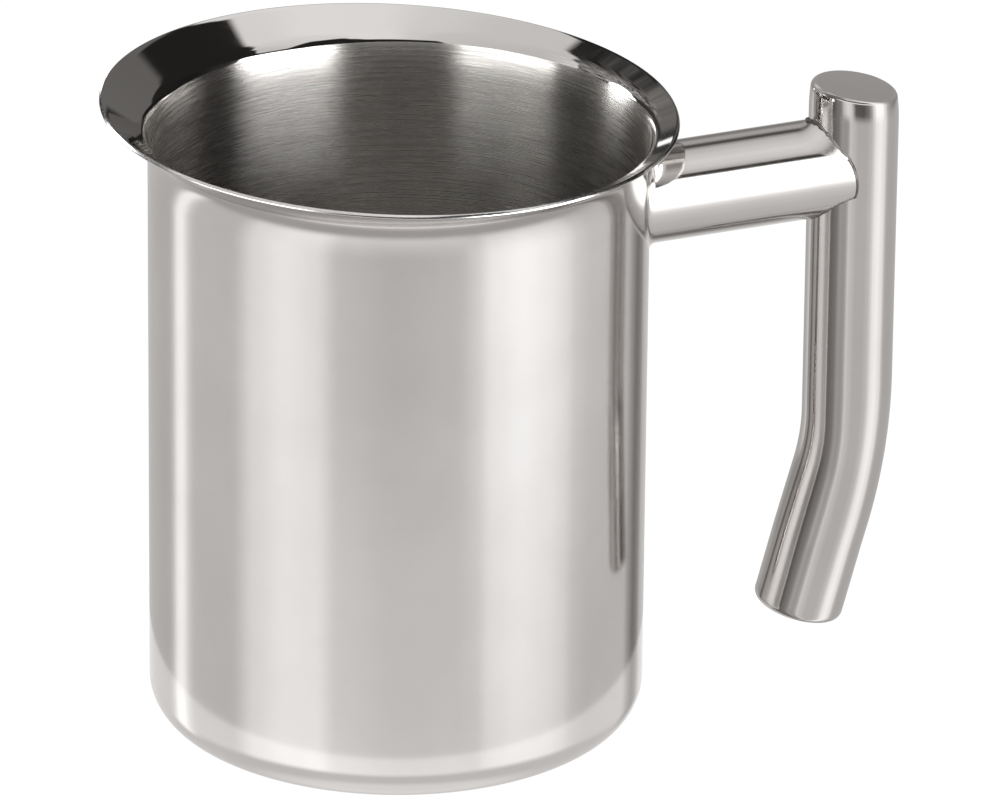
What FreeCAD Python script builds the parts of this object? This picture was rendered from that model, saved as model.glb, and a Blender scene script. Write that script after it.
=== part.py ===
import FreeCAD, Part
import math
import os
import re

import Sketcher

# Candle melting pot: a deep-drawn steel pot with a flared, lopsided rim and a welded tube handle.
# Millimetres. The origin is the middle of the base on the pot's axis, +Z is up, and the handle is
# towards +X, so the high side of the rim, which pours, is towards -X.

DIMENSIONS = (
    # pot: one sheet, drawn, with its mouth flared outwards
    ("pot_radius", 39.0, "outer radius of the straight wall"),
    ("sheet", 0.7, "thickness of the pot's sheet"),
    ("base_corner", 5.8, "outer radius between base and wall"),
    ("flare_start", 95.2, "height where the wall leaves the cylinder"),
    ("flare_bend", 4.0, "outer radius of the bend into the flare"),
    ("flare_angle", 55.0, "lean of the flare from the vertical, past its bend"),
    ("rim_radius", 45.05, "outer radius of the rim"),
    ("rim_height", 100.94, "height of the rim's centre"),
    ("rim_shift", 1.5, "how far the rim's centre lies from the axis, away from the handle"),
    ("rim_tilt", 2.3, "fall of the rim's plane towards the handle"),
    # arm: a straight tube from the pot's wall to the grip
    ("arm_radius", 7.7, "outer radius of the arm"),
    ("arm_wall", 1.0, "wall of the arm's tube"),
    ("arm_height", 86.85, "height of the arm's axis at the pot's wall"),
    ("arm_rise", 9.3, "climb of the arm away from the pot"),
    ("nose_radius", 8.0, "radius of the arm's rounded end, seen from the side"),
    ("nose_overlap", 0.45, "how far the arm's end passes the grip's axis"),
    # grip: a bent tube closed by a disc at each end
    ("grip_radius", 7.0, "outer radius of the grip"),
    ("grip_wall", 1.0, "wall of the grip's tube"),
    ("grip_reach", 70.45, "distance from the pot's axis to the grip's upright axis"),
    ("grip_top", 104.85, "height of the middle of the grip's top face"),
    ("grip_slope", 9.3, "fall of the top face away from the pot"),
    ("elbow_height", 44.1, "height where the grip's two straight axes cross"),
    ("elbow_angle", 14.6, "turn of the lower grip towards the pot"),
    ("elbow_radius", 79.0, "radius of the grip's bend at its axis"),
    ("tail_length", 28.4, "from where the axes cross to the grip's lower end"),
    ("cap_thickness", 2.0, "thickness of the discs that close the grip"),
    ("top_rounding", 0.6, "rounding of the top disc's edge"),
    ("foot_rounding", 1.3, "rounding of the lower disc's edge"),
    # welds
    ("cap_weld", 0.6, "height of the flush seams under the discs"),
    ("wall_weld", 1.3, "radius of the polished fillet between arm and pot"),
    ("grip_weld", 0.45, "size of the fine bead between arm and grip"),
)

doc = FreeCAD.newDocument("CandlePot")
sheet = doc.addObject("Spreadsheet::Sheet", "Sizes")
for row, (alias, value, meaning) in enumerate(DIMENSIONS, start=1):
    sheet.set(f"A{row}", meaning)
    sheet.set(f"B{row}", str(value))
    sheet.setAlias(f"B{row}", alias)
doc.recompute()

SIDEWAYS, UP = FreeCAD.Vector(0, 1, 0), FreeCAD.Vector(0, 0, 1)
LONG = 60.0  # length of a tool solid that only has to be longer than what it trims
SPARE = 5.0  # how far a blank runs past the face that a later cut gives it
PAST_RIM = 1.5  # how far the flare's lofts run past the rim, along their slope
ON_SURFACE = 0.01  # a point this close to a surface counts as on it


def formula(text):
    """The expression with each cell's alias made into a reference to the sheet."""
    aliases = {alias for alias, _, _ in DIMENSIONS}
    return re.sub(r"[a-z_]+", lambda word: f"Sizes.{word[0]}" if word[0] in aliases else word[0], text)


def place(item, x="0", z="0", turn="0"):
    """Puts an object in the handle's plane, turned about +Y by an angle that is also an expression."""
    item.Placement = FreeCAD.Placement(FreeCAD.Vector(), FreeCAD.Rotation(SIDEWAYS, 1))
    item.setExpression("Placement.Base.x", formula(x))
    item.setExpression("Placement.Base.z", formula(z))
    item.setExpression("Placement.Rotation.Angle", formula(turn))
    return item


def cylinder(name, radius, height, **where):
    item = doc.addObject("Part::Cylinder", name)
    item.setExpression("Radius", formula(radius))
    item.setExpression("Height", formula(height))
    return place(item, **where)


def circle(name, radius, **where):
    item = doc.addObject("Part::Circle", name)
    item.setExpression("Radius", formula(radius))
    return place(item, **where)


def loft(name, sections):
    item = doc.addObject("Part::Loft", name)
    item.Sections, item.Solid = sections, True
    return item


def fuse(name, *shapes):
    item = doc.addObject("Part::MultiFuse", name)
    item.Shapes = list(shapes)
    return item


def common(name, *shapes):
    item = doc.addObject("Part::MultiCommon", name)
    item.Shapes = list(shapes)
    return item


def cut(name, base, *tools):
    item = doc.addObject("Part::Cut", name)
    item.Base = base
    item.Tool = tools[0] if len(tools) == 1 else fuse(name + "_tools", *tools)
    return item


def plane_of(body, role):
    return next(p for p in body.Origin.OriginFeatures if p.Role == role)


def sketch_on(body, name, role):
    sketch = body.newObject("Sketcher::SketchObject", name)
    sketch.AttachmentSupport = [(plane_of(body, role), "")]
    sketch.MapMode = "FlatFace"
    return sketch


def dimension(sketch, kind, elements, now, expression):
    """A dimension of a sketch, drawn at its present value and bound to the sheet."""
    index = sketch.addConstraint(Sketcher.Constraint(kind, *elements, now))
    sketch.setExpression(f"Constraints[{index}]", formula(expression))


def names_between(kind, shapes, low, high):
    """Names, such as Edge3, of the edges or faces that lie wholly between two heights."""
    inside = lambda box: box.ZMin > low and box.ZMax < high
    return [f"{kind}{i}" for i, shape in enumerate(shapes, 1) if inside(shape.BoundBox)]


# --- pot -----------------------------------------------------------------------------------------
def build_cup():
    """The straight part of the pot: a disc padded upwards, rounded at its foot and hollowed."""
    body = doc.addObject("PartDesign::Body", "Cup")
    outline = sketch_on(body, "CupOutline", "XY_Plane")
    radius, height = float(sheet.get("pot_radius")), float(sheet.get("flare_start"))
    outline.addGeometry(Part.Circle(FreeCAD.Vector(), UP, radius), False)
    outline.addConstraint(Sketcher.Constraint("Coincident", 0, 3, -1, 1))
    dimension(outline, "Radius", (0,), radius, "pot_radius")
    pad = body.newObject("PartDesign::Pad", "CupPad")
    pad.Profile = outline
    pad.setExpression("Length", formula("flare_start"))
    doc.recompute()
    corner = body.newObject("PartDesign::Fillet", "CupCorner")
    corner.Base = (pad, names_between("Edge", pad.Shape.Edges, -ON_SURFACE, ON_SURFACE))
    corner.setExpression("Radius", formula("base_corner"))
    doc.recompute()
    mouth = names_between("Face", corner.Shape.Faces, height - ON_SURFACE, height + ON_SURFACE)
    hollow = body.newObject("PartDesign::Thickness", "CupHollow")
    hollow.Base = (corner, mouth)
    hollow.Reversed = True
    hollow.setExpression("Value", formula("sheet"))
    return body


def flare_side(name, bend, inset, lift):
    """One side of the flare as a solid: it leaves the cylinder on an arc, reaches the rim and passes it."""
    bends = [
        circle(
            f"{name}Bend{i}",
            f"pot_radius + flare_bend - ({bend}) * cos(({turn}) * 1 deg)",
            z=f"flare_start + ({bend}) * sin(({turn}) * 1 deg)",
        )
        for i, turn in enumerate(("0", "flare_angle / 2", "flare_angle"))
    ]
    ends = [
        circle(
            f"{name}End{i}",
            f"rim_radius - ({inset}) + {past} * sin(flare_angle * 1 deg)",
            x="-rim_shift",
            z=f"rim_height + ({lift}) + {past} * cos(flare_angle * 1 deg)",
            turn="rim_tilt",
        )
        for i, past in enumerate((0, PAST_RIM))
    ]
    return loft(name, bends + ends)


def rim_envelope():
    """A cone whose side is square to the flare, which gives the rim's cut edge."""
    depth, rise = 12, 3  # from the rim down past the flare's start, and up past the lofts' ends
    item = doc.addObject("Part::Cone", "RimEnvelope")
    item.setExpression("Radius1", formula(f"rim_radius + {depth} / tan(flare_angle * 1 deg)"))
    item.setExpression("Radius2", formula(f"rim_radius - {rise} / tan(flare_angle * 1 deg)"))
    item.Height = depth + rise
    below = f"{depth} * sin(rim_tilt * 1 deg)", f"{depth} * cos(rim_tilt * 1 deg)"
    return place(item, x=f"-rim_shift - {below[0]}", z=f"rim_height - {below[1]}", turn="rim_tilt")


cup = build_cup()
flare_outside = flare_side("FlareOutside", "flare_bend", "0", "0")
edge_inset, edge_lift = "sheet * cos(flare_angle * 1 deg)", "sheet * sin(flare_angle * 1 deg)"
flare_inside = flare_side("FlareInside", "flare_bend + sheet", edge_inset, edge_lift)
flare = common("Flare", cut("FlareSheet", flare_outside, flare_inside), rim_envelope())
pot_shell = fuse("pot_shell", cup, flare)
pot_solid = fuse("PotSolid", cylinder("WallSolid", "pot_radius", "flare_start"), flare_outside)


# --- arm -----------------------------------------------------------------------------------------
def arm_height_at(reach):
    """Height of the arm's axis at a distance from the pot's axis."""
    return f"arm_height + ({reach} - pot_radius) * tan(arm_rise * 1 deg)"


ARM_START = "pot_radius / 2"
NOSE_REACH = "(grip_reach + nose_overlap - nose_radius)"


def arm_bar(name, radius, length=str(LONG)):
    """A solid bar along the arm's axis, from inside the pot outwards."""
    return cylinder(name, radius, length, x=ARM_START, z=arm_height_at(ARM_START), turn="90 - arm_rise")


def arm_blank(name, extra="0"):
    """The arm as a solid bar with its end rounded in side view, grown all round by a margin."""
    shank = arm_bar(name + "Shank", "arm_radius * 2", f"({NOSE_REACH} - {ARM_START}) / cos(arm_rise * 1 deg)")
    nose = doc.addObject("Part::Cylinder", name + "Nose")
    nose.Height = LONG
    nose.Placement = FreeCAD.Placement(
        FreeCAD.Vector(0, LONG / 2, 0), FreeCAD.Rotation(FreeCAD.Vector(1, 0, 0), 90)
    )
    nose.setExpression("Radius", formula(f"nose_radius + {extra}"))
    nose.setExpression("Placement.Base.x", formula(NOSE_REACH))
    nose.setExpression("Placement.Base.z", formula(arm_height_at(NOSE_REACH)))
    bar = arm_bar(name + "Bar", f"arm_radius + {extra}")
    return common(name, bar, fuse(name + "Outline", shank, nose))


def grip_bar(name, radius):
    """A solid bar along the grip's upright axis, past both the arm and the top."""
    return cylinder(name, radius, str(LONG), x="grip_reach", z=f"grip_top - {0.75 * LONG}")


arm_solid = arm_blank("ArmSolid")
arm_bore = arm_bar("ArmBore", "arm_radius - arm_wall")
grip_solid = grip_bar("GripSolid", "grip_radius")
handle_arm = cut("handle_arm", arm_solid, arm_bore, pot_solid, grip_solid)


# --- grip ----------------------------------------------------------------------------------------
ELBOW_TANGENT = "elbow_radius * tan(elbow_angle / 2 * 1 deg)"
LID_STACK = "cap_thickness + cap_weld"


def build_grip_tube():
    """The bent tube: a ring swept down an upright line, an arc towards the pot and a slanting line."""
    value = {alias: number for alias, number, _ in DIMENSIONS}
    turn = math.radians(value["elbow_angle"])
    arc_radius, reach = value["elbow_radius"], value["grip_reach"]
    half_arc = arc_radius * math.tan(turn / 2)
    arc_top = value["elbow_height"] + half_arc
    start = value["grip_top"] + SPARE
    centre = FreeCAD.Vector(reach - arc_radius, arc_top)
    arc_end = centre + arc_radius * FreeCAD.Vector(math.cos(turn), -math.sin(turn))
    tail = value["tail_length"] - half_arc - value["cap_thickness"] - value["cap_weld"]
    tail_end = arc_end - tail * FreeCAD.Vector(math.sin(turn), math.cos(turn))
    outer, inner = value["grip_radius"], value["grip_radius"] - value["grip_wall"]

    body = doc.addObject("PartDesign::Body", "GripPipe")
    spine = sketch_on(body, "GripLine", "XZ_Plane")
    spine.addGeometry(Part.LineSegment(FreeCAD.Vector(reach, start), FreeCAD.Vector(reach, arc_top)), False)
    spine.addGeometry(Part.ArcOfCircle(Part.Circle(centre, UP, arc_radius), -turn, 0), False)
    spine.addGeometry(Part.LineSegment(arc_end, tail_end), False)
    spine.addConstraint(Sketcher.Constraint("Vertical", 0))
    spine.addConstraint(Sketcher.Constraint("Tangent", 0, 2, 1, 2))
    spine.addConstraint(Sketcher.Constraint("Tangent", 1, 1, 2, 1))
    dimension(spine, "DistanceX", (-1, 1, 0, 1), reach, "grip_reach")
    dimension(spine, "DistanceY", (-1, 1, 0, 1), start, f"grip_top + {SPARE}")
    dimension(spine, "DistanceY", (-1, 1, 0, 2), arc_top, f"elbow_height + {ELBOW_TANGENT}")
    dimension(spine, "Radius", (1,), arc_radius, "elbow_radius")
    dimension(spine, "Angle", (1,), turn, "elbow_angle * 1 deg")
    dimension(spine, "Distance", (2,), tail, f"tail_length - {ELBOW_TANGENT} - ({LID_STACK})")

    ring = sketch_on(body, "GripRing", "XY_Plane")
    ring.AttachmentOffset = FreeCAD.Placement(FreeCAD.Vector(0, 0, start), FreeCAD.Rotation())
    ring.setExpression("AttachmentOffset.Base.z", formula(f"grip_top + {SPARE}"))
    for index, (radius, size) in enumerate((("grip_radius", outer), ("grip_radius - grip_wall", inner))):
        ring.addGeometry(Part.Circle(FreeCAD.Vector(reach, 0), UP, size), False)
        ring.addConstraint(Sketcher.Constraint("PointOnObject", index, 3, -1))
        dimension(ring, "DistanceX", (-1, 1, index, 3), reach, "grip_reach")
        dimension(ring, "Radius", (index,), size, radius)
    pipe = body.newObject("PartDesign::AdditivePipe", "GripSweep")
    pipe.Profile, pipe.Spine = ring, spine
    return body


def top_slab(name, low, high="0"):
    """A wide disc parallel to the grip's sloping top face, between two depths below it."""
    below = f"({low}) * sin(grip_slope * 1 deg)", f"({low}) * cos(grip_slope * 1 deg)"
    return cylinder(
        name, "grip_radius * 3", f"({low}) - ({high})",
        x=f"grip_reach - {below[0]}", z=f"grip_top - {below[1]}", turn="grip_slope",
    )


def foot_bar(name, radius, low, high):
    """A bar along the lower grip's axis, between two distances from its lower end."""
    from_elbow = f"(tail_length - ({low}))"
    return cylinder(
        name, radius, f"({high}) - ({low})",
        x=f"grip_reach - {from_elbow} * sin(elbow_angle * 1 deg)",
        z=f"elbow_height - {from_elbow} * cos(elbow_angle * 1 deg)",
        turn="elbow_angle",
    )


def rounded(name, base, radius, pick):
    """A fillet, whose radius is a cell's, on the edges of an object that pick chooses."""
    doc.recompute()
    edges = base.Shape.Edges
    chosen = pick(edges)
    item = doc.addObject("Part::Fillet", name)
    item.Base = base
    size = float(sheet.get(radius))
    item.Edges = [(i, size, size) for i, edge in enumerate(edges, 1) if any(edge.isSame(e) for e in chosen)]
    return item


def end_rings(edges):
    """The closed edges of a bar or disc, from the lowest to the highest."""
    return sorted((edge for edge in edges if edge.isClosed()), key=lambda edge: edge.BoundBox.Center.z)


def upper_ring(edges):
    return end_rings(edges)[-1:]


def lower_ring(edges):
    return end_rings(edges)[:1]


above_lid = top_slab("AboveLid", LID_STACK, f"-{LONG / 2}")
grip_tube = cut("grip_tube", build_grip_tube(), above_lid)
top_blank = common("TopLidBlank", grip_solid, top_slab("TopLidSlab", "cap_thickness"))
grip_top_cap = rounded("grip_top_cap", top_blank, "top_rounding", upper_ring)
seam_blank = common("TopSeamBlank", grip_solid, top_slab("TopSeamSlab", LID_STACK, "cap_thickness"))
top_cap_weld = cut("top_cap_weld", seam_blank, grip_bar("GripBore", "grip_radius - grip_wall"))
foot_blank = foot_bar("FootLidBlank", "grip_radius", "0", "cap_thickness")
grip_foot_cap = rounded("grip_foot_cap", foot_blank, "foot_rounding", lower_ring)
foot_cap_weld = cut(
    "foot_cap_weld",
    foot_bar("FootSeamBlank", "grip_radius", "cap_thickness", LID_STACK),
    foot_bar("FootSeamBore", "grip_radius - grip_wall", "0", f"{LID_STACK} + {SPARE}"),
)


# --- welds of the arm -----------------------------------------------------------------------------
def build_wall_weld():
    """The polished fillet round the arm's root, kept as the ring that the pot and arm leave."""
    upright = cylinder("WallStub", "pot_radius", str(LONG), z=f"arm_height - {LONG / 2}")
    bar = arm_bar("RootBar", "arm_radius")
    joined = fuse("RootJoint", upright, bar)

    def crossing(edges):
        """The curve on the wall as wide as the arm; the wall's own edges are wider or have no width."""
        wall_radius, arm_width = float(sheet.get("pot_radius")), 2 * float(sheet.get("arm_radius"))
        middles = [(e, e.valueAt((e.FirstParameter + e.LastParameter) / 2)) for e in edges]
        on_wall = [e for e, at in middles if abs(math.hypot(at.x, at.y) - wall_radius) < ON_SURFACE]
        return [e for e in on_wall if 0.1 * arm_width < e.BoundBox.YLength < 1.5 * arm_width]

    filleted = rounded("RootFillet", joined, "wall_weld", crossing)
    return cut("arm_pot_weld", filleted, upright, bar, flare_outside)


arm_pot_weld = build_wall_weld()
bead = common("BeadBlank", arm_blank("BeadArm", "grip_weld"), grip_bar("BeadGrip", "grip_radius + grip_weld"))
arm_grip_weld = cut("arm_grip_weld", bead, arm_solid, grip_solid)

SUBPARTS = (
    pot_shell, handle_arm, grip_tube, grip_top_cap, grip_foot_cap,
    arm_pot_weld, arm_grip_weld, top_cap_weld, foot_cap_weld,
)
doc.recompute()
for item in doc.Objects:
    if {"Invalid", "Error"} & set(item.State):
        raise RuntimeError(f"{item.Label} did not compute: {item.State}")
    if item.TypeId == "Part::Cut" and item.Shape.Volume > item.Base.Shape.Volume - 1e-3:
        raise RuntimeError(f"{item.Label} cut nothing away")

os.makedirs("parts", exist_ok=True)
for item in SUBPARTS:
    item.Label = item.Name
    shape = item.Shape
    if shape.isNull() or not shape.isValid():
        raise RuntimeError(f"{item.Label} has no valid shape")
    shape.exportStep(f"parts/{item.Label}.step")
    print(f"{item.Label}: {len(shape.Solids)} solid, {shape.Volume:.1f} mm3")
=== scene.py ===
import math

import bpy
from mathutils import Matrix, Vector, noise


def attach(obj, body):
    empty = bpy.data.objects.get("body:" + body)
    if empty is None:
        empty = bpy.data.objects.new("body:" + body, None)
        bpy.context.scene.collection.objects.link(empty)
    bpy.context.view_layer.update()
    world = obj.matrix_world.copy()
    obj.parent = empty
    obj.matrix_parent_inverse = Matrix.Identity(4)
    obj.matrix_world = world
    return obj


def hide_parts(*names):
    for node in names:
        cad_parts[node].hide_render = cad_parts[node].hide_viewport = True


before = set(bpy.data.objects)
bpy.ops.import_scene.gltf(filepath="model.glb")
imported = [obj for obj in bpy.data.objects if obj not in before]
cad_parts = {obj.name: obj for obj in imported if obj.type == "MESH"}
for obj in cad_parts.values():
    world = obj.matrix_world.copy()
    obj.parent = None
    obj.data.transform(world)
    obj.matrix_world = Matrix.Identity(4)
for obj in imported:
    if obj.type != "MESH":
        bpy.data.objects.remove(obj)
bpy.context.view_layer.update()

# A candle melting pot: a flared steel pot, a straight tube arm and a bent tube grip, all welded and polished.
# Shapes are worked out in millimetres and written into the meshes in metres.
MM = 0.001

# pot
WALL_RADIUS, SHEET, BASE_CORNER = 39.0, 0.7, 5.8
BEND_MIDDLE = 97.1  # height where the wall's line and the flare's line would cross
BEND_BELOW, BEND_BEYOND = 5.6, 2.0  # how far the bend reaches down the wall and up the flare from there
RIM_RADIUS, RIM_HEIGHT, RIM_SHIFT, RIM_TILT = 45.05, 100.94, -1.5, math.radians(2.3)
RIM_EDGE_ROUND = 0.17
ROUND_POT = 360  # points round the pot
WALL_ROWS, FLARE_ROWS, BASE_ROWS, LIP_ROWS = 22, 8, 14, 4  # steps of the wall, flare, base corner and lip
BEND_ROWS, MIRROR_ROWS = 20, 8  # steps of the bend, and how many of its rows are as polished as the flare
CORNER_ROWS, BRUSHED_CORNER_ROWS = 12, 7  # the same for the inside corner and the brushing
# arm
ARM_RADIUS, ARM_HEIGHT, ARM_RISE = 7.7, 86.85, math.radians(9.3)
NOSE_RADIUS, NOSE_REACH = 7.85, 62.9  # the rounded end of the arm, where it is wider than the grip
END_ROUND, END_DIVE = 0.3, 1.2  # the end's edge rolls over and dives into the grip
ROOT_FILLET = 1.1
ARM_ROWS, END_ROWS, FILLET_ROWS, FILLER_STEPS = 36, 3, 8, 12  # steps along the arm, its edge and its welds
# how far up the grip the weld's filler reaches from the arm's own outline, by the angle round the arm from
# its top, on the side in front of the handle's plane and behind it
FRONT_FILLER = (
    (0, 0.6), (10, 1.05), (19, 1.65), (31, 2.35), (42, 2.25), (51, 1.85), (59, 1.05), (66, 0.15), (72, 0),
    (110, 0), (180, 0),
)
BACK_FILLER = ((0, 0.6), (12, 0.25), (30, 0), (180, 0))
FILLER_START, FILLER_SPREAD, FILLER_TURN = 0.3, 1.3, 0.35  # how the filler leaves the arm, against its height
BEAD_RADIUS, BEAD_SUNK = 0.19, 0.12
ROUND_BEAD, BEAD_SIDES = 420, 10  # points along the bead and round its section
BEAD_SWELL, AS_WELDED_AT = 0.07, -0.4  # the bead swells where it is left as welded, round this angle
UNEVEN_FINE, UNEVEN_BROAD = (4.0, 0.08), (1.7, 0.06)  # scale and depth of the bead's unevenness
# grip
GRIP_RADIUS, GRIP_REACH, GRIP_TOP, GRIP_SLOPE = 7.0, 70.45, 104.85, math.radians(9.3)
TOP_DOME = 0.22  # the top face swells a little
TOP_TAPER, TAPER_DEPTH = 0.36, 4.6  # polishing has narrowed the grip towards its top
ELBOW_HEIGHT, ELBOW_TURN, TAIL = 44.1, math.radians(14.6), 28.4
CAP, SEAM = 2.0, 0.6
TOP_ROUND, TOP_ROUND_HIGH, FOOT_ROUND = 0.65, 1.25, 1.3  # the top's edge is rounder towards its high side
HIGH_SIDE = math.radians(150)
STRAIGHT_END = 58.0  # height where the upright part of the grip starts to bend
LOWER_RADIUS = 7.12  # the lower tube is a little fuller than the upper one
INNER_KINK, INNER_BEND = 46.1, 35.0  # height and radius of the bend on the pot's side
OUTER_KINK, OUTER_BEND = 43.3, 104.0  # and on the other side
BEND_REACH = 13.0  # how far above the foot the bent stretch gives way to the straight tail
TOP_FACE_RINGS = (0.15, 0.3, 0.45, 0.6, 0.72, 0.84, 0.92, 0.97)
TAPER_ROWS, TUBE_ROWS, ELBOW_ROWS, TAIL_ROWS, EDGE_ROWS = 6, 30, 48, 10, 8  # steps down the grip
ROUND_TUBE = 160  # points round the tubes


def lerp(a, b, t):
    return a + (b - a) * t


def between(pairs, at):
    """The value at a place along a smooth curve through (place, value) pairs."""
    i = max(k for k in range(len(pairs) - 1) if pairs[k][0] <= at)
    slopes = []
    for k in (i, i + 1):
        (a, low), (b, high) = pairs[max(k - 1, 0)], pairs[min(k + 1, len(pairs) - 1)]
        slopes.append((high - low) / (b - a))
    (a, low), (b, high) = pairs[i], pairs[i + 1]
    t, span = (at - a) / (b - a), b - a
    return (
        low * (1 + 2 * t) * (1 - t) ** 2 + high * t * t * (3 - 2 * t)
        + span * (slopes[0] * t * (1 - t) ** 2 - slopes[1] * t * t * (1 - t))
    )


def steps(count):
    """Evenly spaced fractions from 0 to 1."""
    return [i / count for i in range(count + 1)]


def round_angles(count=ROUND_TUBE):
    return [2 * math.pi * i / count for i in range(count)]


def grid_mesh(name, rows, material, zones=None, turned=True):
    """A smooth mesh through rows of points. A row of one point closes the surface there.
    zones gives each band of faces between two rows its material, or None for a gap between two surfaces.
    turned is for rows that run the way in which the faces would look inward."""
    verts, starts = [], []
    for row in rows:
        starts.append(len(verts))
        verts.extend(tuple(c * MM for c in point) for point in row)
    faces, bands = [], []
    for band, (a, b) in enumerate(zip(rows, rows[1:])):
        if zones and zones[band] is None:
            continue
        count = max(len(a), len(b))
        for i in range(count):
            j = (i + 1) % count
            ring_a = [starts[band] + (k if len(a) > 1 else 0) for k in (i, j)]
            ring_b = [starts[band + 1] + (k if len(b) > 1 else 0) for k in (j, i)]
            corners = list(dict.fromkeys(ring_a + ring_b))
            faces.append(corners[::-1] if turned else corners)
            bands.append(band)
    mesh = bpy.data.meshes.new(name)
    mesh.from_pydata(verts, [], faces)
    materials = material if isinstance(material, list) else [material]
    for item in materials:
        mesh.materials.append(item)
    for polygon, band in zip(mesh.polygons, bands):
        polygon.use_smooth = True
        polygon.material_index = zones[band] if zones else 0
    mesh.update()
    obj = bpy.data.objects.new(name, mesh)
    bpy.context.scene.collection.objects.link(obj)
    return obj


# --- materials ------------------------------------------------------------------------------------
OPEN_LOW, OPEN_HIGH = -400, 400  # the side of a window of angles that never closes


class Paint:
    """The nodes of one material. Values are plain numbers or the outputs of other nodes."""

    def __init__(self, name):
        self.material = bpy.data.materials.new(name)
        self.material.use_nodes = True
        self.nodes = self.material.node_tree.nodes
        self.links = self.material.node_tree.links

    def feed(self, socket, value):
        """Link an output to a socket, or set the socket to a plain value."""
        if isinstance(value, bpy.types.NodeSocket):
            self.links.new(value, socket)
        else:
            socket.default_value = value

    def add(self, kind, **values):
        """A node with its properties and its inputs set by name."""
        node = self.nodes.new(kind)
        for key, value in values.items():
            if key in node.inputs:
                self.feed(node.inputs[key], value)
            else:
                setattr(node, key, value)
        return node

    def maths(self, operation, *values):
        node = self.add("ShaderNodeMath", operation=operation)
        for socket, value in zip(node.inputs, values):
            self.feed(socket, value)
        return node.outputs[0]

    def remap(self, value, low, high, to_low, to_high, **settings):
        ends = {"From Min": low, "From Max": high, "To Min": to_low, "To Max": to_high}
        return self.add("ShaderNodeMapRange", Value=value, **ends, **settings).outputs["Result"]

    def grain(self, stretch, scale, detail=4.0):
        """Noise in the object's own space, stretched along its brushing."""
        place = self.add("ShaderNodeTexCoord").outputs["Object"]
        drawn = self.add("ShaderNodeMapping", Vector=place, Scale=stretch).outputs["Vector"]
        noisy = self.add("ShaderNodeTexNoise", Vector=drawn, Scale=scale, Detail=detail, Roughness=0.6)
        return noisy.outputs["Fac"]

    def window(self, degrees, low, high, soft):
        """1 between two angles, falling to 0 outside them over a soft edge."""
        rise, fall = (
            self.remap(degrees, at - soft / 2, at + soft / 2, *ends, interpolation_type="SMOOTHSTEP")
            for at, ends in ((low, (0.0, 1.0)), (high, (1.0, 0.0)))
        )
        return self.maths("MULTIPLY", rise, fall)

    def patch(self, azimuth, sides, height, heights):
        """1 inside a soft-edged rectangle of directions. sides and heights are windows: (low, high, soft)."""
        return self.maths("MULTIPLY", self.window(azimuth, *sides), self.window(height, *heights))

    def blend(self, factor, a, b):
        """a where factor is 0, b where it is 1."""
        rest = self.maths("SUBTRACT", 1.0, factor)
        return self.maths("ADD", self.maths("MULTIPLY", a, rest), self.maths("MULTIPLY", b, factor))

    def bands(self, degrees, pairs):
        """Values along a circle of directions, from (angle, value) pairs between -180 and 180."""
        top = max(value for _, value in pairs)
        ramp = self.add("ShaderNodeValToRGB", Fac=self.remap(degrees, -180.0, 180.0, 0.0, 1.0))
        ramp.color_ramp.interpolation = "EASE"
        stops = ramp.color_ramp.elements
        stops.remove(stops[1])
        for index, (angle, value) in enumerate(pairs):
            at = (angle + 180) / 360
            stop = stops.new(at) if index else stops[0]
            stop.position, stop.color = at, (value / top,) * 3 + (1,)
        return self.maths("MULTIPLY", ramp.outputs["Color"], top)

    def spot(self, azimuth, height, at, radius, soft, squeeze=1.0):
        """1 inside a round spot of directions, 0 outside it, and the distances from its middle."""
        over = self.maths("MULTIPLY", self.maths("SUBTRACT", azimuth, at[0]), squeeze)
        up = self.maths("SUBTRACT", height, at[1])
        squares = [self.maths("MULTIPLY", side, side) for side in (over, up)]
        away = self.maths("SQRT", self.maths("ADD", *squares))
        return self.window(away, OPEN_LOW, radius, soft), over, up, away

    def rays(self, over, up, away):
        """Fine streaks of light fanning out from a spot."""
        turn = self.maths("ARCTAN2", up, over)
        place = self.add(
            "ShaderNodeCombineXYZ", X=self.maths("MULTIPLY", turn, 9.0), Y=self.maths("MULTIPLY", away, 0.09),
        )
        hair = self.add("ShaderNodeTexNoise", Vector=place.outputs[0], Scale=1.6, Detail=5.0, Roughness=0.65)
        fan = self.remap(hair.outputs["Fac"], 0.42, 0.68, 0.0, 1.0)
        return self.maths("MULTIPLY", fan, self.window(away, OPEN_LOW, 32, 44))

    def directions(self):
        """Angles of a point of a dome, in degrees: round the upright axis, above the horizon, round the axis
        that runs across the view, and to the right. All are 0 towards the camera at the horizon."""
        place = self.add("ShaderNodeTexCoord").outputs["Object"]
        unit = self.add("ShaderNodeVectorMath", operation="NORMALIZE")
        self.feed(unit.inputs[0], place)
        x, y, z = self.add("ShaderNodeSeparateXYZ", Vector=unit.outputs[0]).outputs
        front = self.maths("MULTIPLY", y, -1.0)
        radians = (
            self.maths("ARCTAN2", x, front), self.maths("ARCSINE", z),
            self.maths("ARCTAN2", z, front), self.maths("ARCSINE", x),
        )
        return [self.maths("MULTIPLY", angle, 180 / math.pi) for angle in radians]

    def shine(self, strength, colour=(1, 1, 1, 1), clear=False):
        """Make the material a plain light, or a veil of light with what is behind it."""
        glow = self.add("ShaderNodeEmission", Color=colour, Strength=strength)
        if clear:
            veil = self.add("ShaderNodeAddShader")
            self.feed(veil.inputs[0], glow.outputs[0])
            self.feed(veil.inputs[1], self.add("ShaderNodeBsdfTransparent").outputs[0])
            glow = veil
        self.feed(self.add("ShaderNodeOutputMaterial").inputs["Surface"], glow.outputs[0])
        self.material.cycles.emission_sampling = "NONE"
        return self.material


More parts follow.
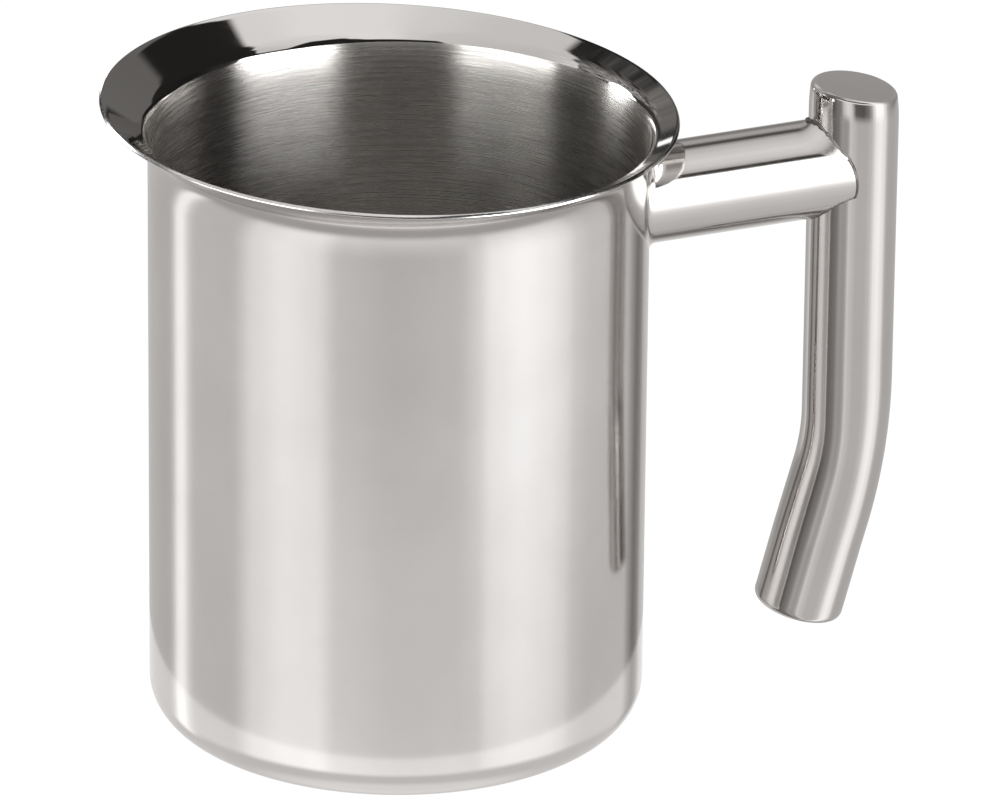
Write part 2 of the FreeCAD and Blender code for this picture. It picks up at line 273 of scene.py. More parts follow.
def steel(
    name, colour, stain, rough, rough_swing, stretch, scale, bump, cloud=60.0, anisotropy=0.0, turn=0.0,
    depth=0.00002, streaks=0.0,
):
    """Bare steel with a cloudy tint, and brushed grain in its roughness, its relief and streaks of tint."""
    paint = Paint(name)
    shader = paint.nodes["Principled BSDF"]
    shader.inputs["Metallic"].default_value = 1.0
    fine = paint.grain(stretch, scale)
    broad = paint.grain((1, 1, 1), cloud, 3.0)
    mixing = paint.remap(broad, 0.35, 0.7, 0.0, 1.0 - streaks)
    if streaks:
        mixing = paint.maths("ADD", mixing, paint.remap(fine, 0.36, 0.64, 0.0, streaks))
    tint = paint.add("ShaderNodeMix", data_type="RGBA", Factor=mixing)
    tint.inputs["A"].default_value = (*colour, 1)
    tint.inputs["B"].default_value = (*stain, 1)
    paint.feed(shader.inputs["Base Color"], tint.outputs["Result"])
    roughness = paint.remap(fine, 0.3, 0.7, rough - rough_swing, rough + rough_swing)
    paint.feed(shader.inputs["Roughness"], roughness)
    relief = paint.add("ShaderNodeBump", Strength=bump, Distance=depth, Height=fine)
    paint.feed(shader.inputs["Normal"], relief.outputs["Normal"])
    if anisotropy:
        shader.inputs["Anisotropic"].default_value = anisotropy
        shader.inputs["Anisotropic Rotation"].default_value = turn
        tangent = paint.add("ShaderNodeTangent", direction_type="RADIAL", axis="Z")
        paint.feed(shader.inputs["Tangent"], tangent.outputs["Tangent"])
    return paint.material


WARM, WARM_DARK = (0.645, 0.63, 0.62), (0.615, 0.597, 0.585)
satin = steel("satin_outside", WARM, WARM_DARK, 0.13, 0.02, (1, 1, 0.12), 2600, 0.10)
mirror = steel("mirror_flare", (0.66, 0.65, 0.635), WARM, 0.05, 0.015, (1, 1, 1), 900, 0.05)
edge = steel("rim_edge", (0.72, 0.71, 0.70), WARM, 0.16, 0.03, (1, 1, 1), 2600, 0.10)
brushed = steel(
    "brushed_inside", (0.68, 0.66, 0.64), (0.42, 0.405, 0.39), 0.27, 0.04, (0.018, 0.018, 1), 3600, 0.5,
    anisotropy=1.0, turn=0.25, depth=0.00006, streaks=0.8,
)
floor_steel = steel("brushed_floor", (0.6, 0.58, 0.555), WARM_DARK, 0.32, 0.05, (1, 1, 1), 2400, 0.2)
arm_polish = steel("polished_arm", WARM, WARM_DARK, 0.09, 0.015, (0.1, 1, 1), 2400, 0.08)
grip_polish = steel("polished_grip", WARM, WARM_DARK, 0.09, 0.015, (1, 1, 0.1), 2400, 0.08)
cap_satin = steel("satin_cap", (0.60, 0.59, 0.575), WARM_DARK, 0.24, 0.03, (1, 0.25, 1), 2600, 0.12)
weld_bright = steel("polished_weld", WARM, WARM_DARK, 0.10, 0.03, (1, 1, 1), 1800, 0.25)
dressed = steel("dressed_weld", WARM, WARM_DARK, 0.20, 0.04, (1, 0.4, 1), 2400, 0.12)
weld_dark = steel("weld_bead", (0.22, 0.21, 0.20), (0.12, 0.11, 0.105), 0.42, 0.12, (1, 1, 1), 1500, 0.8, 900)


# --- pot ------------------------------------------------------------------------------------------
def rim_point(angle):
    """Outer edge of the rim at an angle about the rim's own centre."""
    reach = RIM_RADIUS * math.cos(angle)
    return Vector((
        RIM_SHIFT + reach * math.cos(RIM_TILT),
        RIM_RADIUS * math.sin(angle),
        RIM_HEIGHT - reach * math.sin(RIM_TILT),
    ))


def corner_arc(centre, radius, start, end, count):
    """Points (r, z) on an arc in the pot's section, angles in degrees from the radial direction."""
    angles = [math.radians(lerp(start, end, t)) for t in steps(count)]
    return [(centre[0] + radius * math.cos(a), centre[1] + radius * math.sin(a)) for a in angles]


def bend_points(lean, count):
    """The bend between wall and flare, gentle on the wall and tighter at the flare: its outer face as (r, z)
    points, each with the direction into the sheet."""
    start = Vector((WALL_RADIUS, BEND_MIDDLE - BEND_BELOW))
    corner = Vector((WALL_RADIUS, BEND_MIDDLE))
    end = corner + Vector((math.sin(lean), math.cos(lean))) * BEND_BEYOND
    points = []
    for t in steps(count):
        point = (1 - t) ** 2 * start + 2 * t * (1 - t) * corner + t * t * end
        along = ((1 - t) * (corner - start) + t * (end - corner)).normalized()
        points.append((point, Vector((-along.y, along.x))))
    return points


def pot_section(angle):
    """The pot's section at one angle, from the middle of the base over the rim to the middle of the floor:
    (material, points) stretches, each point an (r, z)."""
    rim = rim_point(angle)
    tip = Vector((math.hypot(rim.x, rim.y), rim.z))
    lean = math.atan2(tip.x - WALL_RADIUS, tip.y - BEND_MIDDLE)
    out = Vector((math.sin(lean), math.cos(lean)))  # along the flare
    side = Vector((-math.cos(lean), math.sin(lean)))  # from its outer to its inner face
    bend = bend_points(lean, BEND_ROWS)
    joint = bend[-1][0]
    wall_top = BEND_MIDDLE - BEND_BELOW

    outside = [(r, 0.0) for r in (0.0, 12.0, 24.0, 31.0)]
    outside += corner_arc((WALL_RADIUS - BASE_CORNER, BASE_CORNER), BASE_CORNER, -90, 0, BASE_ROWS)
    outside += [(WALL_RADIUS, lerp(BASE_CORNER, wall_top, t)) for t in steps(WALL_ROWS)[1:-1]]
    outside += [tuple(point) for point, _ in bend]
    before_lip = tip - RIM_EDGE_ROUND * out
    outside += [tuple(joint.lerp(before_lip, t)) for t in steps(FLARE_ROWS)[1:-1]]

    lip = []
    for depth, first, second in ((RIM_EDGE_ROUND, -side, out), (SHEET - RIM_EDGE_ROUND, out, side)):
        for turn in (math.radians(90 * t) for t in steps(LIP_ROWS)):
            around = first * math.cos(turn) + second * math.sin(turn)
            lip.append(tuple(before_lip + depth * side + RIM_EDGE_ROUND * around))

    inner, corner = WALL_RADIUS - SHEET, BASE_CORNER - SHEET
    flare_top, flare_foot = before_lip + SHEET * side, joint + SHEET * side
    flare = [tuple(flare_top.lerp(flare_foot, t)) for t in steps(FLARE_ROWS)[1:-1]]
    inner_bend = [tuple(point + SHEET * inward) for point, inward in reversed(bend)]
    inner_wall = [(inner, lerp(wall_top, BASE_CORNER, t)) for t in steps(WALL_ROWS)[1:-1]]
    inner_corner = corner_arc((inner - corner, BASE_CORNER), corner, 0, -90, CORNER_ROWS)
    return (
        (satin, outside),
        (edge, lip),
        (mirror, flare + inner_bend[:MIRROR_ROWS]),
        (brushed, inner_bend[MIRROR_ROWS:] + inner_wall + inner_corner[:BRUSHED_CORNER_ROWS]),
        (floor_steel, inner_corner[BRUSHED_CORNER_ROWS:] + [(r, SHEET) for r in (26.0, 15.0, 0.0)]),
    )


def build_pot():
    columns = []
    for angle in round_angles(ROUND_POT):
        rim = rim_point(angle)
        about = math.atan2(rim.y, rim.x)
        section = pot_section(angle)
        outline = [point for _, points in section for point in points]
        columns.append([(r * math.cos(about), r * math.sin(about), z) for r, z in outline])
    rows = [list(row) for row in zip(*columns)]
    rows[0], rows[-1] = rows[0][:1], rows[-1][:1]
    zones = [index for index, (_, points) in enumerate(section) for _ in points][1:]
    return grid_mesh("pot_body", rows, [material for material, _ in section], zones, turned=False)


# --- arm ------------------------------------------------------------------------------------------
ALONG = Vector((math.cos(ARM_RISE), 0, math.sin(ARM_RISE)))
ABOVE = Vector((-math.sin(ARM_RISE), 0, math.cos(ARM_RISE)))
SIDE = Vector((0, 1, 0))


def arm_axis(reach):
    return Vector((reach, 0, ARM_HEIGHT + (reach - WALL_RADIUS) * math.tan(ARM_RISE)))


def arm_line(angle):
    """One line of the arm's surface: a point on it and the outward direction there."""
    outward = ABOVE * math.cos(angle) + SIDE * math.sin(angle)
    return arm_axis(WALL_RADIUS) + outward * ARM_RADIUS, outward


def line_to_upright(start, centre_x, radius, near):
    """Distance along the arm's direction to an upright cylinder, or None when the line misses it."""
    a = ALONG.x ** 2
    b = 2 * ALONG.x * (start.x - centre_x)
    c = (start.x - centre_x) ** 2 + start.y ** 2 - radius ** 2
    root = b * b - 4 * a * c
    if root < 0:
        return None
    return (-b + (-1 if near else 1) * math.sqrt(root)) / (2 * a)


def arm_start(angle):
    point, outward = arm_line(angle)
    return point + ALONG * line_to_upright(point, 0.0, WALL_RADIUS, near=False), outward


def arm_end(angle):
    """Where a line of the arm stops: on the grip, or at the rounded end beside it."""
    point, outward = arm_line(angle)
    nose = arm_axis(NOSE_REACH)
    lift = ARM_RADIUS * math.cos(angle)
    to_nose = (nose - arm_axis(WALL_RADIUS)).length + math.sqrt(NOSE_RADIUS ** 2 - lift ** 2)
    to_grip = line_to_upright(point, GRIP_REACH, GRIP_RADIUS, near=True)
    distance = to_nose if to_grip is None else min(to_nose, to_grip)
    return point + ALONG * distance, outward


def filler_at(angle):
    from_top = math.degrees(math.remainder(angle, 2 * math.pi))
    return between(BACK_FILLER if from_top > 0 else FRONT_FILLER, abs(from_top))


def weld_point(angle):
    """Where the weld's filler meets the grip, and the outward direction there."""
    point, outward = arm_end(angle)
    return point + Vector((0, 0, filler_at(angle))), outward


def build_arm():
    starts, ends = [arm_start(a) for a in round_angles()], [arm_end(a) for a in round_angles()]
    rows = [
        [tuple(start.lerp(end - ALONG * END_ROUND, t)) for (start, _), (end, _) in zip(starts, ends)]
        for t in steps(ARM_ROWS)
    ]
    for turn in (math.radians(90 * t) for t in steps(END_ROWS)[1:]):
        back, down = END_ROUND * (1 - math.sin(turn)), END_ROUND * (1 - math.cos(turn))
        rows.append([tuple(point - ALONG * back - outward * down) for point, outward in ends])
    rows.append([tuple(point - outward * END_DIVE) for point, outward in ends])
    return grid_mesh("arm_tube", rows, arm_polish)


def build_wall_fillet():
    """The concave polished fillet at the arm's root."""
    rows = []
    for t in steps(FILLET_ROWS):
        row = []
        for root, outward in (arm_start(a) for a in round_angles()):
            on_wall = root + outward * ROOT_FILLET
            on_wall.x = math.sqrt(WALL_RADIUS ** 2 - on_wall.y ** 2)
            on_arm = root + ALONG * ROOT_FILLET
            row.append(tuple((1 - t) ** 2 * on_wall + 2 * t * (1 - t) * root + t * t * on_arm))
        rows.append(row)
    return grid_mesh("arm_root_fillet", rows, weld_bright)


def filler_path(angle, meet, outward):
    """The dressed filler's surface along one line of the arm, from the arm to where it meets the grip."""
    end, _ = arm_end(angle)
    size = abs(filler_at(angle))
    # where there is no filler, its surface is hidden in the arm
    sunk = outward * (END_ROUND * max(0.0, 1 - size / END_ROUND) + 0.01)
    leave = end - ALONG * (FILLER_START + FILLER_SPREAD * size) - sunk
    turn = end - ALONG * FILLER_TURN * size - sunk
    path = [leave - outward * END_ROUND]
    path += [
        (1 - t) ** 2 * leave + 2 * t * (1 - t) * turn + t * t * (meet - sunk) for t in steps(FILLER_STEPS)
    ]
    path.append(meet - sunk - outward * END_ROUND)
    return [tuple(point) for point in path]


def build_bead():
    """The weld on the grip: dressed filler on the arm's side and a fine uneven bead along its edge."""
    angles = round_angles(ROUND_BEAD)
    meets = [weld_point(a) for a in angles]
    rows = [list(row) for row in zip(*(filler_path(a, *meet) for a, meet in zip(angles, meets)))]
    filler_rows = len(rows)
    centres = [point - outward * BEAD_SUNK for point, outward in meets]
    spins = round_angles(BEAD_SIDES)
    for spin in spins:
        row = []
        for i, centre in enumerate(centres):
            along = (centres[(i + 1) % len(centres)] - centres[i - 1]).normalized()
            across = along.cross(meets[i][1]).normalized()
            upward = across.cross(along)
            as_welded = max(0.0, math.cos(angles[i] - AS_WELDED_AT)) ** 2
            uneven = sum(noise.noise(centre * scale) * deep for scale, deep in (UNEVEN_BROAD, UNEVEN_FINE))
            radius = BEAD_RADIUS + BEAD_SWELL * as_welded + uneven * (0.25 + as_welded)
            row.append(tuple(centre + radius * (across * math.cos(spin) + upward * math.sin(spin))))
        rows.append(row)
    rows.append(rows[filler_rows])
    zones = [1] * (filler_rows - 1) + [None] + [0] * len(spins)
    weld = grid_mesh("arm_grip_bead", rows, [weld_dark, dressed], zones)
    # the filler is dressed flush with the arm, so it is shaded with the arm's own directions
    normals = [tuple(outward) for _, outward in meets] * filler_rows
    normals += [(0, 0, 0)] * (len(weld.data.vertices) - len(normals))
    weld.data.normals_split_custom_set_from_vertices(normals)
    return weld


# --- grip -----------------------------------------------------------------------------------------
DOWN_TAIL = Vector((-math.sin(ELBOW_TURN), 0, -math.cos(ELBOW_TURN)))
FOOT = Vector((GRIP_REACH, 0, ELBOW_HEIGHT)) + DOWN_TAIL * TAIL


def bent_side(side_x, kink, radius, count):
    """One side of the bend in the handle's plane, from its upright line to the tail's line."""
    tangent = radius * math.tan(ELBOW_TURN / 2)
    corner = Vector((side_x, 0, kink))
    start, end = corner + Vector((0, 0, tangent)), corner + DOWN_TAIL * tangent
    centre = start - Vector((radius, 0, 0))
    far = (FOOT - DOWN_TAIL * BEND_REACH - corner).dot(DOWN_TAIL)
    stops = [Vector((side_x, 0, STRAIGHT_END))]
    turns = [ELBOW_TURN * t for t in steps(count)]
    stops += [centre + Vector((math.cos(q), 0, -math.sin(q))) * radius for q in turns]
    stops.append(corner + DOWN_TAIL * far)
    lengths = [0.0]
    for a, b in zip(stops, stops[1:]):
        lengths.append(lengths[-1] + (b - a).length)
    points = []
    for t in steps(count):
        goal = t * lengths[-1]
        i = max(k for k in range(len(stops) - 1) if lengths[k] <= goal + 1e-9)
        span = lengths[i + 1] - lengths[i]
        points.append(stops[i].lerp(stops[i + 1], (goal - lengths[i]) / span))
    return points


def ring_between(left, right, depth, shrink=0.0):
    """An ellipse through two points of the handle's plane, as deep as the tube is across it."""
    middle, half = (left + right) / 2, (right - left) / 2
    scale = 1 - shrink / half.length
    return [
        tuple(middle + half * math.cos(a) * scale + SIDE * math.sin(a) * (depth - shrink))
        for a in round_angles()
    ]


def tapered(depth):
    """How much the grip is narrowed at a depth below its top."""
    return TOP_TAPER * max(0.0, 1 - depth / TAPER_DEPTH) ** 2


def top_edge_ring(left, right, turn):
    """A ring of the top's rounded edge: from the face at turn 0 to the side at a quarter turn."""
    middle, half = (left + right) / 2, (right - left) / 2
    ring = []
    for a in round_angles():
        rounding = lerp(TOP_ROUND, TOP_ROUND_HIGH, max(0.0, math.cos(a - HIGH_SIDE)))
        drop = rounding * (1 - math.cos(turn))
        inward = rounding * (1 - math.sin(turn)) + tapered(drop)
        scale = 1 - inward / half.length
        point = middle + half * math.cos(a) * scale + SIDE * math.sin(a) * (GRIP_RADIUS - inward)
        ring.append(point - Vector((0, 0, drop)))
    return ring


def top_ring(depth_below):
    """A ring parallel to the sloping top face, at a depth below it measured square to the face."""
    drop = depth_below / math.cos(GRIP_SLOPE)
    rise = GRIP_RADIUS * math.tan(GRIP_SLOPE)
    left = Vector((GRIP_REACH - GRIP_RADIUS, 0, GRIP_TOP + rise - drop))
    right = Vector((GRIP_REACH + GRIP_RADIUS, 0, GRIP_TOP - rise - drop))
    return left, right


def narrowed_ring(depth):
    """A ring of the grip's side near its top."""
    return ring_between(*top_ring(depth), GRIP_RADIUS, tapered(depth))


def foot_ring(above, radius):
    """A ring square to the tail, at a distance above the grip's lower end."""
    across = Vector((math.cos(ELBOW_TURN), 0, -math.sin(ELBOW_TURN)))
    middle = FOOT - DOWN_TAIL * above
    return middle - across * radius, middle + across * radius


def build_top():
    """The upper disc, its swelling face and rounded edge, and the rows of the flush seam below it."""
    left, right = top_ring(0.0)
    face_out = Vector((math.sin(GRIP_SLOPE), 0, math.cos(GRIP_SLOPE)))
    face_middle = (left + right) / 2
    brim = top_edge_ring(left, right, 0.0)
    rows = [[tuple(face_middle + face_out * TOP_DOME)]]
    for t in TOP_FACE_RINGS:
        lift = face_out * TOP_DOME * (1 - t * t)
        rows.append([tuple(face_middle.lerp(point, t) + lift) for point in brim])
    for turn in steps(EDGE_ROWS):
        rows.append([tuple(point) for point in top_edge_ring(left, right, math.radians(90 * turn))])
    rows += [narrowed_ring(depth) for depth in (1.4, 1.6, 1.8, CAP)]
    face = len(TOP_FACE_RINGS) + 2  # the face's finish runs onto the first step of the rounding
    zones = [0] * face + [1] * (len(rows) - 1 - face)
    return {
        "grip_top": grid_mesh("grip_top", rows, [cap_satin, grip_polish], zones),
        "grip_top_seam": grid_mesh(
            "grip_top_seam", [narrowed_ring(CAP + SEAM * t) for t in steps(3)], grip_polish,
        ),
    }


def build_tube():
    """The grip's tube: narrowed at its top, upright, bent, then straight down its tail."""
    rows = [narrowed_ring(CAP + SEAM + (TAPER_DEPTH - CAP - SEAM) * t) for t in steps(TAPER_ROWS)[:-1]]
    upper = top_ring(TAPER_DEPTH)
    for t in steps(TUBE_ROWS)[:-1]:
        ends = [side.lerp(Vector((side.x, 0, STRAIGHT_END)), t) for side in upper]
        rows.append(ring_between(*ends, GRIP_RADIUS))
    inner = bent_side(GRIP_REACH - GRIP_RADIUS, INNER_KINK, INNER_BEND, ELBOW_ROWS)
    outer = bent_side(GRIP_REACH + GRIP_RADIUS, OUTER_KINK, OUTER_BEND, ELBOW_ROWS)
    for t, a, b in zip(steps(ELBOW_ROWS), inner, outer):
        rows.append(ring_between(a, b, lerp(GRIP_RADIUS, LOWER_RADIUS, t)))
    foot_start = foot_ring(CAP + SEAM, LOWER_RADIUS)
    for t in steps(TAIL_ROWS)[1:]:
        ends = [side.lerp(goal, t) for side, goal in zip((inner[-1], outer[-1]), foot_start)]
        rows.append(ring_between(*ends, LOWER_RADIUS))
    return {"grip_bent_tube": grid_mesh("grip_bent_tube", rows, grip_polish)}


def build_foot():
    """The lower disc with its rounded edge, and the flush seam above it."""
    seam = [ring_between(*foot_ring(CAP + SEAM * (1 - t), LOWER_RADIUS), LOWER_RADIUS) for t in steps(2)]
    rows = [ring_between(*foot_ring(CAP, LOWER_RADIUS), LOWER_RADIUS)]
    for turn in (math.radians(90 * t) for t in steps(EDGE_ROWS)):
        ring = foot_ring(FOOT_ROUND * (1 - math.sin(turn)), LOWER_RADIUS)
        rows.append(ring_between(*ring, LOWER_RADIUS, FOOT_ROUND * (1 - math.cos(turn))))
    for t in (0.75, 0.5, 0.25):
        shrink = LOWER_RADIUS - t * (LOWER_RADIUS - FOOT_ROUND)
        rows.append(ring_between(*foot_ring(0.0, LOWER_RADIUS), LOWER_RADIUS, shrink))
    rows.append([tuple(FOOT)])
    return {
        "grip_foot_seam": grid_mesh("grip_foot_seam", seam, grip_polish),
        "grip_foot": grid_mesh("grip_foot", rows, grip_polish),
    }


pot = build_pot()
arm = build_arm()
fillet = build_wall_fillet()
bead = build_bead()
grip = {**build_top(), **build_tube(), **build_foot()}
STANDS_FOR = (
    (pot, "pot_shell", "pot_steel"),
    (arm, "handle_arm", "handle_steel"),
    (fillet, "arm_pot_weld", "weld_steel"),
    (bead, "arm_grip_weld", "weld_steel"),
    (grip["grip_top"], "grip_top_cap", "cap_steel"),
    (grip["grip_top_seam"], "top_cap_weld", "weld_steel"),
    (grip["grip_bent_tube"], "grip_tube", "handle_steel"),
    (grip["grip_foot_seam"], "foot_cap_weld", "weld_steel"),
    (grip["grip_foot"], "grip_foot_cap", "cap_steel"),
)
for piece, node, finish in STANDS_FOR:
    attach(piece, "root")
    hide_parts(node)

# --- camera ---------------------------------------------------------------------------------------
CAMERA_AZIMUTH, CAMERA_PITCH, CAMERA_ROLL = math.radians(-2.0), math.radians(23.118), math.radians(0.6)
CAMERA_DISTANCE, LENS, SENSOR = 1.6, 363.04, 36.0
AIM_ACROSS, AIM_UP = 0.016032, 0.048057

across = Vector((math.cos(CAMERA_AZIMUTH), math.sin(CAMERA_AZIMUTH), 0))
backward = Vector((
    math.sin(CAMERA_AZIMUTH) * math.cos(CAMERA_PITCH),
    -math.cos(CAMERA_AZIMUTH) * math.cos(CAMERA_PITCH),
    math.sin(CAMERA_PITCH),
))
upward = backward.cross(across)
camera_x = across * math.cos(CAMERA_ROLL) + upward * math.sin(CAMERA_ROLL)
camera_y = upward * math.cos(CAMERA_ROLL) - across * math.sin(CAMERA_ROLL)
camera_data = bpy.data.cameras.new("camera")
camera_data.lens, camera_data.sensor_width = LENS, SENSOR
camera_data.clip_end = 100.0
camera = bpy.data.objects.new("camera", camera_data)
bpy.context.scene.collection.objects.link(camera)
turned = Matrix((camera_x, camera_y, backward)).transposed().to_4x4()
eye = across * AIM_ACROSS + upward * AIM_UP + backward * CAMERA_DISTANCE
camera.matrix_world = Matrix.Translation(eye) @ turned
bpy.context.scene.camera = camera


# --- studio ---------------------------------------------------------------------------------------
# Light as (angle, brightness) pairs: round the pot, round the grip and its top, and over the arm.
POT_BANDS = (
    (-180, 0.60), (-126, 0.60), (-122, 0.75), (-118, 1.35), (-113, 1.40), (-108, 0.90), (-104, 0.73),
    (-79, 0.73), (-65, 1.10), (-51, 1.24), (-36, 1.17), (-25, 0.86), (0, 0.77), (27, 0.80), (36, 0.93),
    (43, 1.22), (58, 1.34), (72, 1.24), (80, 1.10), (88, 0.86), (97, 0.77), (128, 0.70), (134, 0.40),
    (140, 0.20), (147, 0.30), (153, 0.62), (180, 0.75),
)
GRIP_BANDS = (
    (-180, 0.40), (-150, 0.55), (-127, 0.86), (-107, 0.74), (-93, 0.35), (-80, 0.24), (-63, 0.20),
    (-51, 0.20), (-40, 0.26), (-28, 0.48), (-19, 0.45), (-14, 0.52), (-7, 0.88), (0, 0.78), (14, 0.66),
    (33, 0.66), (46, 0.76), (53, 0.95), (60, 1.26), (72, 1.39), (87, 1.18), (97, 0.72), (103, 0.60),
    (125, 0.58), (150, 0.57), (180, 0.50),
)
GRIP_TOP_BANDS = (
    (-180, 0.42), (-125, 0.38), (-100, 0.45), (-84, 0.42), (-74, 0.20), (-66, 0.12), (-52, 0.14),
    (-40, 0.26), (-32, 0.32), (-24, 0.80), (-14, 1.05), (-5, 0.95), (1, 0.50), (6, 0.15), (25, 0.13),
    (38, 0.24), (46, 0.50), (54, 1.1), (62, 1.6), (78, 1.6), (88, 1.1), (98, 0.60), (110, 0.42),
    (125, 0.32), (180, 0.42),
)
ARM_BANDS = (
    (-180, 0.45), (-150, 0.85), (-128, 0.72), (-114, 0.45), (-107, 0.22), (-100, 0.24), (-91, 0.52),
    (-76, 0.67), (-58, 0.72), (-46, 0.79), (-34, 0.88), (-26, 1.08), (-18, 1.6), (-11, 2.4), (41, 2.4),
    (43.5, 2.2), (46, 0.05), (52, 0.05), (56, 0.72), (66, 0.92), (80, 1.0), (92, 0.90), (112, 0.74),
    (120, 0.48), (126, 0.10), (132, 0.12), (140, 0.50), (149, 0.55), (157, 0.42), (164, 0.26), (180, 0.30),
)
FAR_LEFT, FAR_LEFT_LIGHT = (OPEN_LOW, -38, 24), 0.62
# how the pot's bands brighten upwards (above 0.5) or downwards (below it), by azimuth
DRIFT_BANDS = (
    (-180, 0.5), (-80, 0.5), (-55, 0.55), (-20, 0.15), (0, 0.1), (25, 0.2), (40, 0.8), (60, 0.85), (90, 0.8),
    (140, 0.5),
)
DRIFT_FROM, DRIFT_RATE = -22.0, 0.055  # the height that the bands are given for, and the drift per degree
# what the rim's underside reflects: top, softness, brightness
UNDERSIDES = ((-36, 12, 0.5), (-64, 20, 0.74))
# the tall panels that light the inside, and what is seen between, above and below them
PANEL_BANDS = (
    (-180, 0.05), (-90, 0.05), (-79, 0.08), (-74, 6.0), (-31, 9.5), (-24, 0.08), (28, 0.08), (36, 14.0),
    (77, 14.0), (83, 0.10), (89, 0.04), (110, 0.015), (180, 0.03),
)
PANEL_FOOT, RIGHT_PANEL_FOOT, PANEL_TOP = -8, 4, 24
LEFT_PANEL_DIM, LEFT_PANEL_DIM_TOP, ABOVE_PANELS = 0.30, 10, 0.02
SCREEN = 0.17
SCREENS = (
    ((147, OPEN_HIGH, 3), (9, 46, 4)), ((-171, -156, 3), (17, 35, 4)), ((OPEN_LOW, -174, 3), (-8, 6, 4)),
)
# the ceiling: the height of its edge by azimuth, and its brightness from left to right
CEILING_EDGE = (
    (-180, 56), (-150, 56), (-140, 55), (-115, 52), (-105, 48), (-99, 38), (-90, 24), (-26, 25), (-17, 38),
    (16, 40), (26, 44), (32, 49), (48, 46), (58, 30), (72, 30), (82, 44), (95, 54), (101, 56.5), (114, 59),
    (130, 59), (137, 56), (145, 52), (152, 47), (160, 51), (180, 56),
)
CEILING_BANDS = (
    (-48, 0.74), (-12, 0.82), (-4, 0.92), (4, 1.06), (14, 1.08), (22, 0.98), (36, 0.92), (48, 0.80),
)
# the bare lamp behind the handle, with its rays, its strip of light and its two faint echoes
LAMP, LAMP_AT, LAMP_SIZE, LAMP_SQUEEZE = 16.0, (-121, 15), 8, 0.97
RAYS, RAYS_HEIGHT = 1.1, (20, 53, 6)
STRIP, STRIP_SIDES, STRIP_HEIGHTS = 5.0, (-133, -119, 4), (-6, 14, 4)
ECHOES = ((7.0, (-160, 0), 4, 3), (1.6, (-173, 12.5), 1.2, 1.5))  # brightness, place, radius, softness


def paint_pot(paint):
    azimuth, height, _, sideways = paint.directions()
    drift = paint.maths("SUBTRACT", paint.bands(azimuth, DRIFT_BANDS), 0.5)
    drift = paint.maths("MULTIPLY", drift, paint.maths("SUBTRACT", height, DRIFT_FROM))
    drift = paint.maths("ADD", paint.maths("MULTIPLY", drift, DRIFT_RATE), 1.0)
    walls = paint.maths("MULTIPLY", paint.bands(azimuth, POT_BANDS), drift)
    for top, soft, bright in UNDERSIDES:
        walls = paint.blend(paint.window(height, OPEN_LOW, top, soft), walls, bright)

    panels = paint.bands(azimuth, PANEL_BANDS)
    low_left = paint.patch(azimuth, (-90, 0, 4), height, (OPEN_LOW, LEFT_PANEL_DIM_TOP, 6))
    panels = paint.blend(low_left, panels, paint.maths("MULTIPLY", panels, LEFT_PANEL_DIM))
    room = paint.blend(paint.window(height, PANEL_TOP, OPEN_HIGH, 4), panels, ABOVE_PANELS)
    for sides, heights in SCREENS:
        room = paint.blend(paint.patch(azimuth, sides, height, heights), room, SCREEN)
    low_right = paint.patch(azimuth, (20, 90, 4), height, (OPEN_LOW, RIGHT_PANEL_FOOT, 4))
    below = paint.maths("MAXIMUM", paint.window(height, OPEN_LOW, PANEL_FOOT, 6), low_right)
    room = paint.blend(below, room, walls)

    above_edge = paint.maths("SUBTRACT", height, paint.bands(azimuth, CEILING_EDGE))
    ceiling = paint.bands(sideways, CEILING_BANDS)
    lit = paint.blend(paint.window(above_edge, 0, OPEN_HIGH, 2), room, ceiling)

    lamp, over, up, away = paint.spot(azimuth, height, LAMP_AT, LAMP_SIZE, 5, LAMP_SQUEEZE)
    fan = paint.maths("MULTIPLY", paint.rays(over, up, away), paint.window(height, *RAYS_HEIGHT))
    lit = paint.maths("ADD", lit, paint.maths("MULTIPLY", fan, RAYS))
    lit = paint.blend(lamp, lit, LAMP)
    lit = paint.blend(paint.patch(azimuth, STRIP_SIDES, height, STRIP_HEIGHTS), lit, STRIP)
    for bright, at, radius, soft in ECHOES:
        lit = paint.blend(paint.spot(azimuth, height, at, radius, soft)[0], lit, bright)
    return lit


def paint_arm(paint):
    """The arm's bands, evened out on the far left."""
    _, _, pitch, sideways = paint.directions()
    return paint.blend(paint.window(sideways, *FAR_LEFT), paint.bands(pitch, ARM_BANDS), FAR_LEFT_LIGHT)


def paint_grip(paint):
    """The grip's bands, and above them others for its narrowed top, its top face and the face's edge."""
    azimuth, height, _, _ = paint.directions()
    front, rear = (-40, 60, 20), (110, OPEN_HIGH, 20)
    from_front = paint.maths("ABSOLUTE", azimuth)
    layers = (
        (paint.window(height, -14.5, 22, 6), paint.bands(azimuth, GRIP_TOP_BANDS)),
        (paint.spot(azimuth, height, (-84, 6), 5, 5)[0], 1.8),
        (paint.patch(azimuth, front, height, (8, 26, 8)), 1.2),
        (paint.patch(from_front, rear, height, (4, 60, 10)), 0.44),
        (paint.spot(azimuth, height, (-140, 32), 10, 24, 0.85)[0], 0.95),
        (paint.patch(azimuth, front, height, (30, 52, 8)), 0.12),
    )
    lit = paint.bands(azimuth, GRIP_BANDS)
    for where, bright in layers:
        lit = paint.blend(where, lit, bright)
    return lit


def link_to(light, receivers):
    """The light lights only these pieces."""
    lit = bpy.data.collections.new(light.name + "_receivers")
    for piece in receivers:
        lit.objects.link(piece)
    light.light_linking.receiver_collection = lit


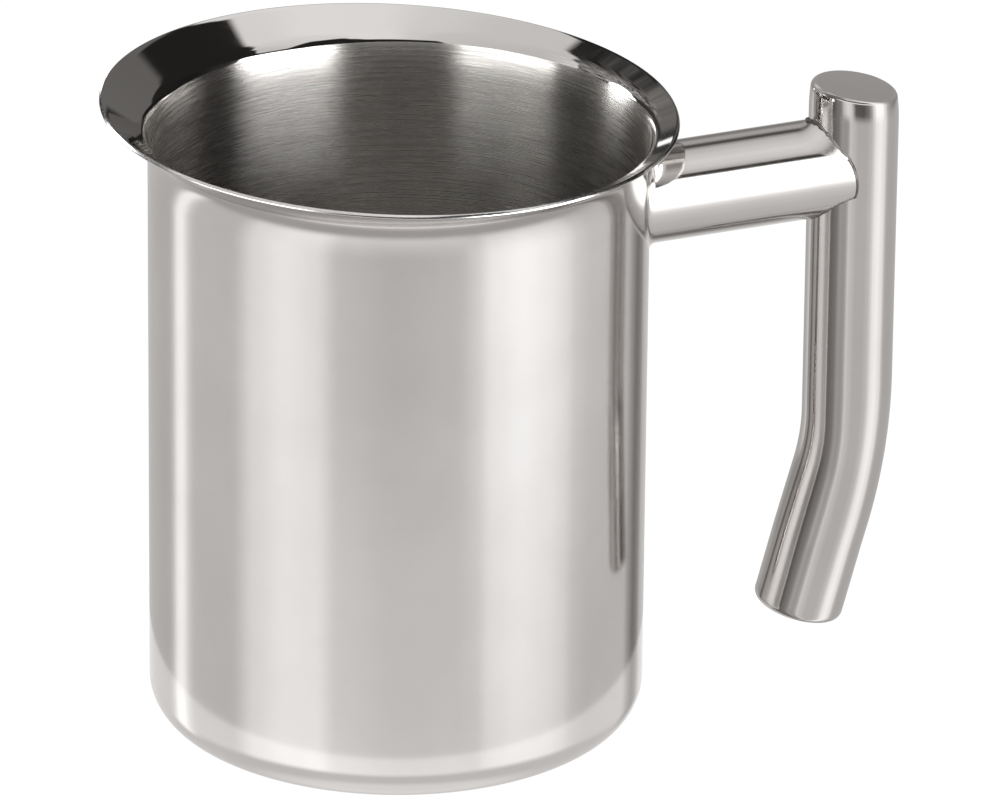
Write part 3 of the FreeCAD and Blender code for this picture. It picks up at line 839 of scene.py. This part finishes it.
def light_dome(name, radius, height, brightness, receivers):
    """A surrounding dome of light seen only in the reflections of the pieces it is linked to."""
    paint = Paint(name)
    paint.nodes.clear()
    strength = brightness(paint)
    warmth = paint.add(
        "ShaderNodeMix", data_type="RGBA", clamp_factor=True, Factor=paint.maths("MULTIPLY", strength, 0.75),
    )
    warmth.inputs["A"].default_value, warmth.inputs["B"].default_value = (1.0, 0.955, 0.925, 1), (1, 1, 1, 1)
    bpy.ops.mesh.primitive_uv_sphere_add(segments=96, ring_count=48, radius=radius)
    dome = bpy.context.object
    dome.name = name
    dome.location = (0, 0, height)
    dome.rotation_euler = (0, 0, CAMERA_AZIMUTH)
    dome.data.materials.append(paint.shine(strength, warmth.outputs["Result"], clear=True))
    dome.visible_camera = dome.visible_shadow = False
    link_to(dome, receivers)


light_dome("pot_light", 0.5, 0.05, paint_pot, [pot])
light_dome("arm_light", 5.2, 0.0, paint_arm, [arm, fillet, bead])
light_dome("grip_light", 5.4, 0.0, paint_grip, list(grip.values()))


def glowing(name, strength, clear=False):
    """A plain white surface that looks the same from everywhere."""
    paint = Paint(name)
    paint.nodes.clear()
    return paint.shine(strength, clear=clear)


WHITE = 1.02  # just over the picture's white

bpy.ops.mesh.primitive_plane_add(size=24.0, location=(0, 0, -0.0001))
floor = bpy.context.object
floor.name = "floor"
floor.data.materials.append(glowing("floor_white", WHITE))
bpy.ops.mesh.primitive_uv_sphere_add(segments=64, ring_count=32, radius=11.5)
backdrop = bpy.context.object
backdrop.name = "backdrop"
backdrop.data.materials.append(glowing("backdrop_white", WHITE))
for item in (floor, backdrop):
    item.visible_glossy = item.visible_diffuse = item.visible_shadow = False

# the bright table right round the base, as the base's rounded corner reflects it
bpy.ops.mesh.primitive_circle_add(vertices=96, radius=0.056, fill_type="NGON", location=(0, 0, -0.00005))
table = bpy.context.object
table.name = "table_light"
table.data.materials.append(glowing("table_white", 0.28, clear=True))
table.visible_camera = table.visible_shadow = False
link_to(table, [pot])

world = bpy.data.worlds.new("studio")
bpy.context.scene.world = world
world.use_nodes = True
world.node_tree.nodes["Background"].inputs["Strength"].default_value = 0.0

bpy.context.scene.view_settings.view_transform = "Standard"
